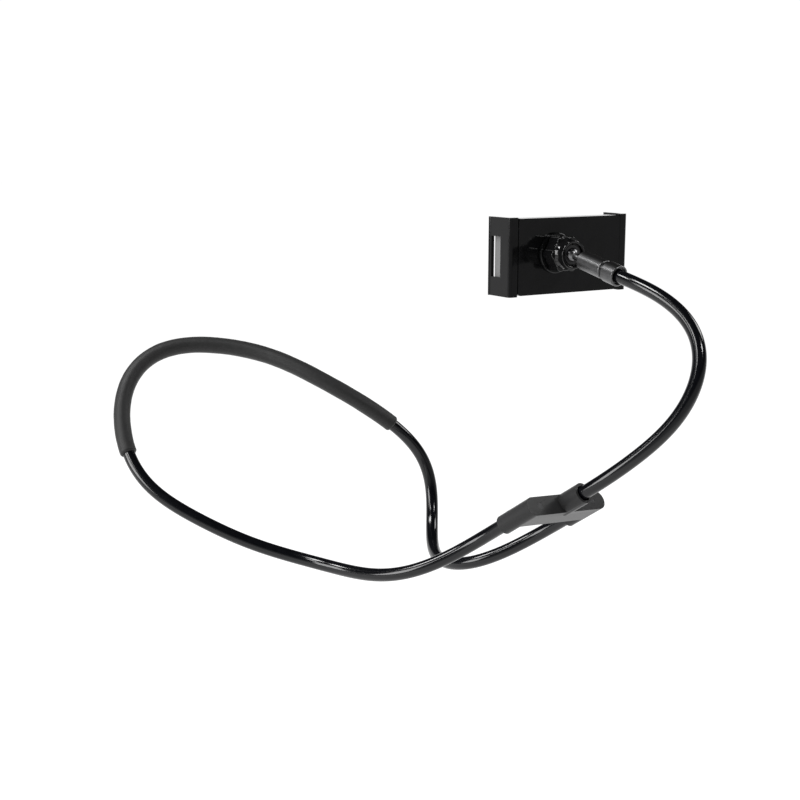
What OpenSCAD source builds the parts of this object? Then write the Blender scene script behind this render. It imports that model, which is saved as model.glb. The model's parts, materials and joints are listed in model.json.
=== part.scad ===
// Neck phone holder: a bendable tube loop with a foam nape sleeve, a three-way connector,
// a bendable arm, a ball joint with a lobed nut, and a spring clamp for a phone.
// Millimetres, Z up, as worn. The wearer faces -Y. The origin is where the foam rests on the nape.

/* [Tube] */
// Outer diameter of the bendable tube
tube_d = 8; // [7:0.5:9]
// Wall of the tube's outer skin
skin_wall = 1.2; // [0.8:0.1:1.6]
// Gap between the skin and the alloy rod inside it
core_gap = 0.2; // [0.15:0.05:0.3]

/* [Neck loop] */
// Length that the neck loop's way points are shares of
loop_size = 100; // [90:1:115]
// Outer diameter of the foam sleeve
foam_d = 11; // [10:0.5:16]
// Gap between the foam sleeve and the tube
foam_gap = 0.1; // [0.05:0.05:0.3]

/* [Arm] */
// Length that the arm's way points are shares of
arm_size = 100; // [90:1:120]
// Gap between two neighbouring arm pieces at a bend
bend_gap = 0.3; // [0.2:0.05:0.5]
// Downward tilt of the ball stud from the clamp's axis
stud_tilt = 12; // [0:1:20]

/* [Connector] */
// Distance between the two sockets of the neck loop
socket_spacing = 56; // [44:1:70]
// Outer diameter of the socket barrels
barrel_d = 11.4; // [11:0.1:14]
// Length of the barrels from mouth to front face
barrel_l = 26; // [24:0.5:32]
// Depth of the web between the barrels
web_l = 16; // [12:0.5:18]
// Thickness of the front plate
front_t = 4; // [3.5:0.5:6]
// Outer diameter of the arm's sleeve
sleeve_d = 12.6; // [12:0.1:15]
// Length of the arm's sleeve in front of the plate
sleeve_l = 14; // [10:0.5:20]
// Depth that each tube reaches into its socket
socket_depth = 14; // [10:0.5:15]
// Gap between a tube and its socket
socket_gap = 0.1; // [0.05:0.05:0.3]

/* [Ball joint] */
// Diameter of the ball
ball_d = 9; // [8:0.5:10]
// Diameter of the ball's neck and stem
stem_d = 4.6; // [4:0.1:5]
// Length of the ball's neck, from the ball to the ferrule
neck_l = 7.5; // [6:0.5:10]
// Outer diameter of the ferrule
ferrule_d = 11.6; // [11:0.1:13]
// Length of the ferrule
ferrule_l = 21; // [15:0.5:24]
// Outer diameter of the collar
collar_d = 12.6; // [12:0.1:14]
// Length of the collar
collar_l = 10.5; // [9:0.5:14]
// Distance from the clamp's back to the ball's centre
ball_out = 16; // [14:0.1:18]
// Diameter of the socket's flange
flange_d = 25; // [23:0.5:28]
// Number of lobes on the lock nut
nut_lobes = 6; // [5:1:8]
// Running gap of the ball, the seat and the nut
run_gap = 0.05; // [0.03:0.01:0.08]

/* [Clamp] */
// Width of the clamp's housing
housing_w = 80; // [76:1:90]
// Height of the clamp's housing
housing_h = 47; // [44:1:56]
// Thickness of the back cover
back_t = 5; // [4.6:0.1:6]
// Thickness of the front cover
cover_t = 5; // [4.6:0.1:6]
// Wall of the two covers
shell_wall = 1.8; // [1.4:0.1:2]
// Shift of the housing's middle from the ball joint's axis
housing_shift = 12.2; // [4:0.2:14]
// Distance of the housing's middle below the ball joint's axis
housing_drop = 1.8; // [0:0.2:3]
// Distance that the jaws stand out past the housing's ends
jaw_out = 6.5; // [5.5:0.1:8]
// Depth of the jaws from the clamp's back
jaw_depth = 23; // [21:0.5:28]
// Height of the jaws
jaw_h = 48.4; // [46:0.2:58]
// Wall of the jaws and of the tongues that hold them
jaw_wall = 2.2; // [1.8:0.1:2.2]
// Thickness of the jaws' rubber pads
pad_t = 10; // [6:0.5:11]
// Travel of the sliding jaw
jaw_travel = 24; // [15:1:26]
// Gap round the sliding jaw's tongue
slide_gap = 0.3; // [0.2:0.05:0.4]
// Diameter of the guide rods
rod_d = 2.4; // [2:0.1:2.6]
// Running gap of the guide rods
rod_gap = 0.08; // [0.05:0.01:0.1]

/* [Hidden] */

// Facets that round faces are drawn with
fine = 96;
// Overrun of every cut past the face that it opens
over = 1;

// Way points of the loop from the left socket round the nape to the right socket,
// x to the side, y to the back and z up from the nape
neck_way_shares = [
    [0.25, -1.62, -1.12],
    [-0.02, -1.01, -1.16],
    [-0.43, -0.65, -1.00],
    [-0.82, -0.06, -0.56],
    [-0.57, 0.25, -0.02],
    [0.02, 0.03, 0.04],
    [0.43, -0.41, -0.16],
    [0.80, -0.66, -0.45],
    [1.03, -0.75, -0.75],
    [0.96, -0.90, -1.12],
    [0.78, -1.33, -1.21]
];
// Way points that the foam sleeve starts and ends at
foam_first = 3;
foam_last = 7;

// Middle of the connector's front face
connector_at_share = [0.97, -2.30, -0.63];
// Turn about the upright axis, upward tilt and roll of the connector
connector_turn = 15;
connector_tilt = 35;
connector_roll = -8;

// Way points of the arm counted from the connector's front face. The arm bends at them.
arm_way_shares = [
    [0.19, -0.36, 0.32],
    [0.36, -0.52, 0.58],
    [0.50, -0.50, 0.92],
    [0.50, -0.20, 1.17]
];
// The ball's centre counted from the connector's front face
ball_at_share = [0.45, 0.565, 1.365];

tube_r = tube_d / 2;
bore_r = tube_r - skin_wall;
core_r = bore_r - core_gap;
foam_r = foam_d / 2;

// The bends: rounded piece ends that turn about one centre
bend_r = 1.2 * tube_r;

// Dead end of the tube in a socket: a brass plug with a flange
plug_flange = 1.2;
plug_l = 5;

connector_at = loop_size * connector_at_share;
ball_at = connector_at + arm_size * ball_at_share;

function unit(v) = v / norm(v);
function turn_x(v, a) = [v.x, v.y * cos(a) - v.z * sin(a), v.y * sin(a) + v.z * cos(a)];
function turn_z(v, a) = [v.x * cos(a) - v.y * sin(a), v.x * sin(a) + v.y * cos(a), v.z];

// A direction of the connector's own axes, x along its width and z out of its front, in the model's axes
function connector_dir(v) = turn_z(turn_x(turn_z(v, connector_roll), 90 - connector_tilt), connector_turn);
function connector_point(v) = connector_at + connector_dir(v);

// The stud's direction, from the ball towards the arm
stud_dir = turn_x([0, 0, 1], 90 + stud_tilt);
front_dir = connector_dir([0, 0, 1]);

// Places on the stud's axis, counted from the ball's centre
ferrule_z = ball_d / 2 + neck_l;
groove_z = ferrule_z + ferrule_l;
washer_t = 2;
collar_z = groove_z + washer_t;
collar_end_z = collar_z + collar_l;
// Depth of the collar's open mouth, in which the tube is seen to enter
mouth_l = 2;
arm_end_z = collar_end_z - mouth_l;
// Length of the stud's tail past the swivel washer, and the gap between its end and the arm's rod
tail_l = 4.6;
tail_gap = 0.3;

// Depth of the arm's tube inside the collar, behind the connector's front face and in all
collar_socket_l = 4;
arm_socket_l = 10;
arm_depth = sleeve_l + arm_socket_l;

// Tangent at a way point: that of the circle through it and its two neighbours
function way_tangent(p, i) =
    let (u = p[i] - p[i - 1], v = p[i + 1] - p[i])
    unit(u / (u * u) + v / (v * v));

// Joining point of the two arcs that lead from p with tangent s to q with tangent t
function arc_join(p, s, q, t) =
    let (
        v = q - p,
        c = 2 * (1 - s * t),
        w = v * (s + t),
        d = (sqrt(w * w + c * (v * v)) - w) / c
    )
    (p + d * s + q - d * t) / 2;

// Tangent at the end of an arc that starts at p with tangent s and ends at q
function arc_end(p, s, q) =
    let (c = unit(q - p))
    2 * (c * s) * c - s;

// Arcs between all way points. Each is a start point, a start tangent and an end point.
function way_arcs(p, first_dir, last_dir) = [
    for (i = [0 : len(p) - 2])
    let (
        s = i == 0 ? first_dir : way_tangent(p, i),
        t = i == len(p) - 2 ? last_dir : way_tangent(p, i + 1),
        m = arc_join(p[i], s, p[i + 1], t)
    )
    each [[p[i], s, m], [m, arc_end(p[i], s, m), p[i + 1]]]
];

loop_start = connector_point([-socket_spacing / 2, 0, -barrel_l]);
loop_end = connector_point([socket_spacing / 2, 0, -barrel_l]);
neck_way = [loop_start, for (s = neck_way_shares) loop_size * s, loop_end];
neck_arcs = way_arcs(neck_way, -front_dir, front_dir);

arm_start = connector_point([0, 0, sleeve_l]);
arm_end = ball_at + arm_end_z * stud_dir;
arm_way = [arm_start, for (s = arm_way_shares) connector_at + arm_size * s, arm_end];
arm_arcs = way_arcs(arm_way, front_dir, -stud_dir);
arm_pieces = len(arm_way) - 1;

// Tangent of the arm at its way point i
function arm_tangent(i) = i == 0 ? front_dir : i == arm_pieces ? -stud_dir : way_tangent(arm_way, i);

// Stands children that lie along +Z at a point, along a direction
module along(at, dir) {
    translate(at)
        rotate([0, acos(dir.z), atan2(dir.y, dir.x)])
            children();
}

// Sides of a swept tube and of the rod inside it, and the longest step along them
tube_sides = 12;
rod_sides = 8;
step_share = 1.125;
sweep_step = step_share * tube_d;
// Directions that no tangent of the loop or the arm comes near, which keep the sweeps from twisting
loop_normal = [0, -0.28, 0.96];
arm_normal = [1, 0, 0];

// Half the angle that an arc bends through
function arc_half(arc) =
    let (chord = arc[2] - arc[0])
    atan2(norm(chord - (chord * arc[1]) * arc[1]), chord * arc[1]);

// Point and tangent of an arc at a share of its length
function arc_station(arc, share) =
    let (
        chord = arc[2] - arc[0],
        inward = unit(chord - (chord * arc[1]) * arc[1]),
        half = arc_half(arc),
        radius = norm(chord) / (2 * sin(half)),
        bend = 2 * half * share
    )
    [
        arc[0] + radius * ((1 - cos(bend)) * inward + sin(bend) * arc[1]),
        cos(bend) * arc[1] + sin(bend) * inward
    ];

// Number of steps along an arc
function arc_steps(arc) = max(2, ceil(norm(arc[2] - arc[0]) / sweep_step));

// Stations along some arcs of a list, without the first one's start
function stations(arcs, first, last) = [
    for (i = [first : last], k = [1 : arc_steps(arcs[i])])
    arc_station(arcs[i], k / arc_steps(arcs[i]))
];

// Station moved along its tangent
function shifted(station, distance) = [station[0] + distance * station[1], station[1]];

function reversed(list) = [for (i = [len(list) - 1 : -1 : 0]) list[i]];

// Points of a ring round a station
function ring_points(station, r, normal, sides) =
    let (x = unit(cross(normal, station[1])), y = cross(station[1], x))
    [for (k = [0 : sides - 1]) station[0] + r * (cos(360 * k / sides) * x + sin(360 * k / sides) * y)];

// Side faces between ring m and ring n
function ring_faces(m, n, sides) = [
    for (k = [0 : sides - 1])
    let (next = (k + 1) % sides)
    each [
        [m * sides + k, m * sides + next, n * sides + next],
        [m * sides + k, n * sides + next, n * sides + k]
    ]
];

// Hollow tube between outer stations and inner stations, which may start and end at other places
module hose(outer, inner, outer_r, inner_r, normal) {
    rings = concat(
        [for (s = outer) ring_points(s, outer_r, normal, tube_sides)],
        [for (s = reversed(inner)) ring_points(s, inner_r, normal, tube_sides)]
    );
    count = len(rings);
    polyhedron(
        points = [for (r = rings) each r],
        faces = [for (m = [0 : count - 1]) each ring_faces(m, (m + 1) % count, tube_sides)]
    );
}

// Solid rod along stations
module rod(path, r, normal) {
    rings = [for (s = path) ring_points(s, r, normal, rod_sides)];
    count = len(rings);
    polyhedron(
        points = [for (r = rings) each r],
        faces = concat(
            [for (m = [0 : count - 2]) each ring_faces(m, m + 1, rod_sides)],
            [[for (k = [rod_sides - 1 : -1 : 0]) k]],
            [[for (k = [0 : rod_sides - 1]) (count - 1) * rod_sides + k]]
        )
    );
}

// Stations of the neck loop, with both ends a given depth inside their sockets
function neck_path(depth) = concat(
    [shifted([loop_start, -front_dir], -depth), [loop_start, -front_dir]],
    stations(neck_arcs, 0, len(neck_arcs) - 1),
    [shifted([loop_end, front_dir], depth)]
);

module neck_sleeve() {
    color([0.03, 0.03, 0.04])
        hose(neck_path(socket_depth), neck_path(socket_depth), tube_r, bore_r, loop_normal);
}

module neck_core() {
    color([0.6, 0.6, 0.62])
        rod(neck_path(socket_depth - plug_l), core_r, loop_normal);
}

// Plug in a tube's end: its barrel fills the bore and its flange covers the rim
module end_plug(at, dir) {
    along(at, dir) {
        translate([0, 0, -plug_l])
            cylinder(r = core_r, h = plug_l, $fn = fine);
        cylinder(r = tube_r, h = plug_flange, $fn = fine);
    }
}

module neck_end_plugs() {
    color([0.72, 0.58, 0.3]) {
        end_plug(loop_start + socket_depth * front_dir, front_dir);
        end_plug(loop_end + socket_depth * front_dir, front_dir);
    }
}

module foam_sleeve() {
    path = stations(neck_arcs, 2 * (foam_first + 1), 2 * (foam_last + 1) - 1);
    whole = concat([[neck_arcs[2 * (foam_first + 1)][0], neck_arcs[2 * (foam_first + 1)][1]]], path);
    color([0.2, 0.2, 0.2])
        hose(whole, whole, foam_r, tube_r + foam_gap, loop_normal);
}

// Distance from a bend's centre at which a rounded end of radius r reaches the radius of a tube
function bend_reach(r, tube) = sqrt(r * r - tube * tube);

// Stations of arm piece i, which starts and ends at the given distances past its two bends.
// The first piece starts in the connector instead, at a depth behind the sleeve's mouth,
// and the last one ends in the collar, at a depth behind its mouth.
function arm_path(i, from, to, first_depth, last_depth) = concat(
    i == 0
        ? [shifted([arm_start, front_dir], -first_depth), [arm_start, front_dir]]
        : [shifted([arm_way[i], arm_tangent(i)], from)],
    stations(arm_arcs, 2 * i, 2 * i + 1),
    [shifted([arm_way[i + 1], arm_tangent(i + 1)], i == arm_pieces - 1 ? last_depth : to)]
);

// Outer skin of an arm piece: its start is hollowed round the bend, and its end is rounded
module arm_sleeve(number) {
    i = number - 1;
    hollow_r = bend_r + bend_gap;
    last = collar_socket_l;
    color([0.03, 0.03, 0.04])
        hose(
            arm_path(i, bend_reach(hollow_r, tube_r), bend_reach(bend_r, tube_r), arm_depth, last),
            arm_path(i, bend_reach(hollow_r, bore_r), bend_reach(bend_r, bore_r), arm_depth, last),
            tube_r,
            bore_r,
            arm_normal
        );
}

module arm_core(number) {
    first = arm_depth - plug_l;
    last = arm_end_z - collar_z - tail_l - tail_gap;
    color([0.6, 0.6, 0.62])
        rod(
            arm_path(number - 1, bend_r + bend_gap, bend_reach(bend_r, core_r), first, last),
            core_r,
            arm_normal
        );
}

module arm_end_plug() {
    color([0.72, 0.58, 0.3])
        end_plug(arm_start - arm_depth * front_dir, -front_dir);
}

// The connector: sizes of its own
barrel_r = barrel_d / 2;
sleeve_r = sleeve_d / 2;
socket_r = tube_r + socket_gap;
// Clearance behind a plug's flange
plug_gap = 0.3;
// Radial gap round the tube at the sleeve's open mouth, and the depth of the snug bore behind it
sleeve_mouth_gap = 0.7;
sleeve_snug_l = 2;
// Screws that close the connector: places from its middle, radii and lengths
screw_inset = 5;
screw_r = 0.95;
screw_l = 5;
screw_head_r = 1.9;
screw_head_t = 1.2;
thread_gap = 0.05;
// Screws that lock the tubes: radius, hexagon socket and distance from the mouth
grub_r = 1.4;
grub_key_r = 0.7;
grub_key_l = 0.7;
grub_inset = 7;
grub_gap = 0.05;

module at_connector() {
    translate(connector_at)
        rotate([0, 0, connector_turn])
            rotate([90 - connector_tilt, 0, 0])
                rotate([0, 0, connector_roll])
                    children();
}

// Repeats children at both sockets of the loop
module both_sockets() {
    for (side = [-1, 1])
        translate([side * socket_spacing / 2, 0, 0])
            children();
}

// Repeats children at both closing screws
module both_connector_screws() {
    for (side = [-1, 1])
        translate([side * (socket_spacing / 2 - screw_inset), 0, 0])
            children();
}

// Slice of the connector's long round-ended outline
module connector_slice(from, to) {
    translate([0, 0, from])
        linear_extrude(height = to - from) {
            square([socket_spacing, barrel_d], center = true);
            both_sockets() circle(r = barrel_r, $fn = fine);
        }
}

// Screw along -Z with its head's top at the origin
module screw(r, length, head_r, head_t) {
    translate([0, 0, -head_t])
        cylinder(r = head_r, h = head_t, $fn = fine);
    translate([0, 0, -length])
        cylinder(r = r, h = length, $fn = fine);
}

// Lock screw along +Y, or its hole
module grub(r, key_r) {
    rotate([-90, 0, 0])
        difference() {
            translate([0, 0, tube_r + grub_gap])
                cylinder(r = r, h = barrel_r - tube_r - 2 * grub_gap, $fn = fine);
            translate([0, 0, barrel_r - grub_gap - grub_key_l])
                cylinder(r = key_r, h = grub_key_l + over, $fn = 6);
        }
}

module grub_hole() {
    rotate([-90, 0, 0])
        cylinder(r = grub_r + grub_gap, h = barrel_r + over, $fn = fine);
}

module grub_places() {
    both_sockets()
        translate([0, 0, grub_inset - barrel_l])
            children();
    translate([0, 0, -(front_t + arm_socket_l) / 2])
        children();
}

module connector_back() {
    color([0.3, 0.3, 0.31])
        at_connector()
            difference() {
                union() {
                    connector_slice(-web_l, -front_t);
                    both_sockets()
                        translate([0, 0, -barrel_l])
                            cylinder(r = barrel_r, h = barrel_l - front_t, $fn = fine);
                }
                both_sockets()
                    translate([0, 0, -barrel_l - over])
                        cylinder(r = socket_r, h = over + socket_depth + plug_flange + plug_gap, $fn = fine);
                translate([0, 0, -arm_socket_l - plug_flange - plug_gap])
                    cylinder(r = socket_r, h = arm_socket_l + plug_flange + plug_gap, $fn = fine);
                both_connector_screws()
                    translate([0, 0, -screw_l - plug_gap])
                        cylinder(r = screw_r + thread_gap, h = screw_l + plug_gap, $fn = fine);
                grub_places() grub_hole();
            }
}

module connector_front() {
    color([0.42, 0.42, 0.43])
        at_connector()
            difference() {
                union() {
                    connector_slice(-front_t, 0);
                    translate([0, 0, -front_t])
                        cylinder(r = sleeve_r, h = front_t + sleeve_l, $fn = fine);
                }
                translate([0, 0, -front_t - over])
                    cylinder(r = socket_r, h = over + front_t + sleeve_l, $fn = fine);
                translate([0, 0, sleeve_snug_l])
                    cylinder(r = tube_r + sleeve_mouth_gap, h = sleeve_l - sleeve_snug_l + over, $fn = fine);
                both_connector_screws() {
                    translate([0, 0, -front_t - over])
                        cylinder(r = screw_r + thread_gap, h = front_t + 2 * over, $fn = fine);
                    translate([0, 0, -screw_head_t - 2 * thread_gap])
                        cylinder(r = screw_head_r + thread_gap, h = screw_head_t + over, $fn = fine);
                }
            }
}

module connector_screws() {
    color([0.5, 0.5, 0.5])
        at_connector()
            both_connector_screws()
                translate([0, 0, -thread_gap])
                    screw(screw_r, screw_l, screw_head_r, screw_head_t);
}

module grub_screws() {
    color([0.2, 0.2, 0.2])
        at_connector()
            grub_places() grub(grub_r, grub_key_r);
}

// The ball stud's line: sizes of its own
ball_r = ball_d / 2;
stem_r = stem_d / 2;
tail_step = 0.3;
tail_r = stem_r - tail_step;
clip_z = 1.7;
clip_t = 0.8;
clip_r = 3.4;
clip_groove = 0.35;
clip_gap = 0.05;
collar_wall_l = 1.5;
clip_room_l = 2.2;
clip_room_r = 3.7;
collar_mouth_gap = 1.1;
edge = 0.5;
washer_r = 5;

module at_ball() {
    translate(ball_at)
        rotate([90 + stud_tilt, 0, 0])
            children();
}

// Cylinder with both rims chamfered
module rimmed_cylinder(r, h) {
    rotate_extrude($fn = fine)
        polygon([[0, 0], [r - edge, 0], [r, edge], [r, h - edge], [r - edge, h], [0, h]]);
}

module ball_stud() {
    color([0.7, 0.7, 0.72])
        at_ball()
            difference() {
                union() {
                    sphere(r = ball_r, $fn = fine);
                    cylinder(r = stem_r, h = groove_z, $fn = fine);
                    cylinder(r = tail_r, h = collar_z + tail_l, $fn = fine);
                }
                translate([0, 0, collar_z + clip_z - clip_gap])
                    difference() {
                        cylinder(r = tail_r + over, h = clip_t + 2 * clip_gap, $fn = fine);
                        translate([0, 0, -over])
                            cylinder(r = tail_r - clip_groove, h = clip_t + 2 * over, $fn = fine);
                    }
            }
}

module retaining_clip() {
    color([0.35, 0.35, 0.36])
        at_ball()
            translate([0, 0, collar_z + clip_z])
                linear_extrude(height = clip_t)
                    difference() {
                        circle(r = clip_r, $fn = fine);
                        circle(r = tail_r - clip_groove + clip_gap, $fn = fine);
                        translate([0, -clip_r])
                            square([tail_r, 2 * clip_r], center = true);
                    }
}

module ferrule() {
    color([0.45, 0.45, 0.47])
        at_ball()
            translate([0, 0, ferrule_z])
                difference() {
                    rimmed_cylinder(ferrule_d / 2, ferrule_l);
                    translate([0, 0, -over])
                        cylinder(r = stem_r + run_gap, h = ferrule_l + 2 * over, $fn = fine);
                }
}

module swivel_washer() {
    color([0.05, 0.05, 0.05])
        at_ball()
            translate([0, 0, groove_z])
                difference() {
                    cylinder(r = washer_r, h = washer_t, $fn = fine);
                    translate([0, 0, -over])
                        cylinder(r = tail_r + run_gap, h = washer_t + 2 * over, $fn = fine);
                }
}

module collar() {
    color([0.45, 0.45, 0.47])
        at_ball()
            translate([0, 0, collar_z])
                difference() {
                    rimmed_cylinder(collar_d / 2, collar_l);
                    translate([0, 0, -over])
                        cylinder(r = tail_r + run_gap, h = collar_wall_l + 2 * over, $fn = fine);
                    translate([0, 0, collar_wall_l])
                        cylinder(r = clip_room_r, h = clip_room_l + over, $fn = fine);
                    translate([0, 0, collar_l - mouth_l - collar_socket_l])
                        cylinder(r = socket_r, h = collar_socket_l + over, $fn = fine);
                    translate([0, 0, collar_l - mouth_l])
                        cylinder(r = tube_r + collar_mouth_gap, h = mouth_l + over, $fn = fine);
                }
}

// The ball joint's socket: sizes of its own, along the axis out of the clamp's back
clamp_at = ball_at + [0, ball_out, 0];
seat_in_r = ball_r + run_gap;
seat_wall = 1.4;
seat_out_r = seat_in_r + seat_wall;
seat_front = 1.2;
flange_t = 2.4;
post_r = 8;
post_z = ball_out - run_gap;
tip_r = 7.1;
slot_w = 1;
slot_l = 6;
nut_z = 3;
nut_r = 10.2;
lobe_r = 3;
nut_ring_r = 8.8;
nut_grip_l = 9;
nut_travel = 0.75;
ring_t = 0.8;
ring_z = ball_out;
lip_z = ring_z + ring_t + nut_travel + run_gap;
lip_t = 1;
nut_mouth_r = 7.2;
socket_screw_ring = 5;
socket_screw_r = 0.95;
socket_screw_l = 5;
socket_screw_head_r = 1.8;
socket_screw_head_t = 1.4;

module at_socket() {
    translate(clamp_at)
        rotate([90, 0, 0])
            children();
}

module ball_seat() {
    color([0.08, 0.08, 0.08])
        at_socket()
            translate([0, 0, ball_out])
                difference() {
                    sphere(r = seat_out_r, $fn = fine);
                    sphere(r = seat_in_r, $fn = fine);
                    translate([0, 0, seat_front])
                        cylinder(r = seat_out_r + over, h = seat_out_r, $fn = fine);
                }
}

module socket_screw_places() {
    for (turn = [45 : 90 : 315])
        rotate([0, 0, turn])
            translate([socket_screw_ring, 0, 0])
                children();
}

module ball_socket() {
    color([0.06, 0.06, 0.07])
        at_socket()
            difference() {
                union() {
                    rimmed_cylinder(flange_d / 2, flange_t);
                    cylinder(r = post_r, h = post_z, $fn = fine);
                    cylinder(r = tip_r, h = ball_out + seat_front, $fn = fine);
                }
                translate([0, 0, ball_out])
                    sphere(r = seat_out_r + run_gap, $fn = fine);
                for (turn = [0, 90])
                    rotate([0, 0, turn])
                        translate([-slot_w / 2, -post_r - over, ball_out + seat_front - slot_l])
                            cube([slot_w, 2 * (post_r + over), slot_l + over]);
                socket_screw_places()
                    translate([0, 0, -over])
                        cylinder(r = socket_screw_r + thread_gap, h = over + socket_screw_l, $fn = fine);
            }
}

module socket_screws() {
    color([0.5, 0.5, 0.5])
        at_socket()
            socket_screw_places()
                translate([0, 0, -shell_wall - socket_screw_head_t])
                    rotate([180, 0, 0])
                        screw(
                            socket_screw_r,
                            shell_wall + socket_screw_head_t + socket_screw_l - plug_gap,
                            socket_screw_head_r,
                            socket_screw_head_t
                        );
}

module pressure_ring() {
    color([0.6, 0.6, 0.62])
        at_socket()
            translate([0, 0, ring_z])
                linear_extrude(height = ring_t)
                    difference() {
                        circle(r = post_r - run_gap, $fn = fine);
                        circle(r = tip_r + run_gap, $fn = fine);
                    }
}

module lock_nut() {
    taper_z = nut_z + nut_grip_l;
    front_z = lip_z + lip_t;
    color([0.05, 0.05, 0.06])
        at_socket()
            difference() {
                union() {
                    translate([0, 0, nut_z])
                        linear_extrude(height = nut_grip_l) {
                            circle(r = nut_r, $fn = fine);
                            for (k = [0 : nut_lobes - 1])
                                rotate([0, 0, 360 * k / nut_lobes])
                                    translate([nut_r - lobe_r / 2, 0])
                                        circle(r = lobe_r, $fn = fine);
                        }
                    rotate_extrude($fn = fine)
                        polygon([
                            [0, nut_z + edge], [nut_r - edge, nut_z + edge], [nut_r - edge, taper_z],
                            [nut_ring_r, taper_z + lobe_r], [nut_ring_r, front_z], [0, front_z]
                        ]);
                }
                translate([0, 0, nut_z - over])
                    cylinder(r = post_r + run_gap, h = lip_z - nut_z + over, $fn = fine);
                translate([0, 0, lip_z - over])
                    cylinder(r = nut_mouth_r, h = lip_t + 2 * over, $fn = fine);
            }
}

// The clamp: sizes of its own. Depths are counted from its back, towards the phone.
clamp_t = back_t + cover_t;
corner_r = 2;
cavity_corner_r = 1;
tongue_y = shell_wall + slide_gap;
tongue_h = 26;
fixed_tongue_l = 14;
slide_tongue_l = fixed_tongue_l + jaw_travel;
// Inner ends of the two tongues
fixed_end_x = fixed_tongue_l - housing_w / 2;
slide_end_x = housing_w / 2 - slide_tongue_l;
jaw_clear = 0.4;
jaw_back_y = 0.3;
flare_r = 2.5;
flare_angle = 45;
flare_y = jaw_depth - (flare_r + jaw_wall) * sin(flare_angle);
window_y = 10;
window_end_y = 19.4;
window_h = 25;
pad_margin = 0.9;
// Margins of the phone pad to the housing's outline
phone_pad_side = 11;
phone_pad_top = 7.5;
phone_pad_t = 1.2;
phone_pad_corner = 4;
rod_rise = 2;
rod_y = tongue_y + jaw_wall + rod_rise;
rod_r = rod_d / 2;
rod_z = 9;
rod_bite = 0.9;
// Holders of the rods' inner ends, in front of the sliding tongue's end
holder_gap = 1;
holder_l = 4.4;
holder_h = 5.2;
holder_x = slide_end_x - holder_gap - holder_l;
rod_start_x = holder_x + rod_bite;
runner_l = 6;
runner_wall = 0.5;
spring_z = 4;
spring_r = 1.8;
spring_wire = 0.6;
// Pins of the springs, counted from the tongues' ends
pin_r = 1;
pin_gap = 0.1;
spring_start_inset = 4;
spring_end_inset = 8;
spring_start_x = fixed_end_x + spring_start_inset;
spring_end_x = slide_end_x + spring_end_inset;
spring_eye_r = pin_r + pin_gap + spring_wire;
spring_gap = 0.3;
boss_r = 2.4;
// Screws, counted from the housing's ends, its top and its middle
cover_screw_side = 5.5;
cover_screw_top = 5;
cover_screw_x = housing_w / 2 - cover_screw_side;
cover_screw_z = housing_h / 2 - cover_screw_top;
cover_screw_l = 8;
jaw_screw_side = 6.5;
jaw_screw_x = housing_w / 2 - jaw_screw_side;
jaw_screw_z = 8;
jaw_screw_l = 5;

module at_housing() {
    translate(clamp_at + [housing_shift, 0, -housing_drop])
        children();
}

// Slab of an outline between two depths
module slab(from, to) {
    translate([0, to, 0])
        rotate([90, 0, 0])
            linear_extrude(height = to - from)
                children();
}

// Pillar of radius r between two depths
module pillar(r, from, to) {
    translate([0, to, 0])
        rotate([90, 0, 0])
            cylinder(r = r, h = to - from, $fn = fine);
}

module rounded_outline(w, h, r) {
    square([w, h - 2 * r], center = true);
    square([w - 2 * r, h], center = true);
    for (x = [-1, 1], y = [-1, 1])
        translate([x * (w / 2 - r), y * (h / 2 - r)])
            circle(r = r, $fn = fine);
}

module housing_outline() {
    rounded_outline(housing_w, housing_h, corner_r);
}

module cavity_outline() {
    rounded_outline(housing_w - 2 * shell_wall, housing_h - 2 * shell_wall, cavity_corner_r);
}

// Four corners of the housing, where the cover screws go
module cover_screw_places() {
    for (x = [-1, 1], z = [-1, 1])
        translate([x * cover_screw_x, 0, z * cover_screw_z])
            children();
}

// Mirrored pair above and below the housing's middle
module above_and_below(z) {
    for (side = [-1, 1])
        translate([0, 0, side * z])
            children();
}

// Slots in the two ends that the jaws' tongues pass through
module tongue_slots() {
    slot_t = jaw_wall + 2 * slide_gap;
    slot_h = tongue_h + 2 * slide_gap;
    for (side = [-1, 1])
        translate([side * (housing_w / 2 - shell_wall / 2), tongue_y + jaw_wall / 2, 0])
            cube([shell_wall + 2 * over, slot_t, slot_h], center = true);
}

module back_cover() {
    color([0.06, 0.06, 0.07])
        at_housing()
            difference() {
                union() {
                    difference() {
                        slab(0, back_t) housing_outline();
                        slab(shell_wall, back_t + over) cavity_outline();
                        tongue_slots();
                    }
                    cover_screw_places() pillar(boss_r, shell_wall / 2, back_t);
                }
                translate([-housing_shift, 0, housing_drop])
                    rotate([90, 0, 0])
                        socket_screw_places()
                            translate([0, 0, -shell_wall - over])
                                cylinder(r = socket_screw_r + thread_gap, h = shell_wall + 2 * over, $fn = fine);
                cover_screw_places()
                    pillar(screw_r + thread_gap, shell_wall, back_t + over);
            }
}

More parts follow.
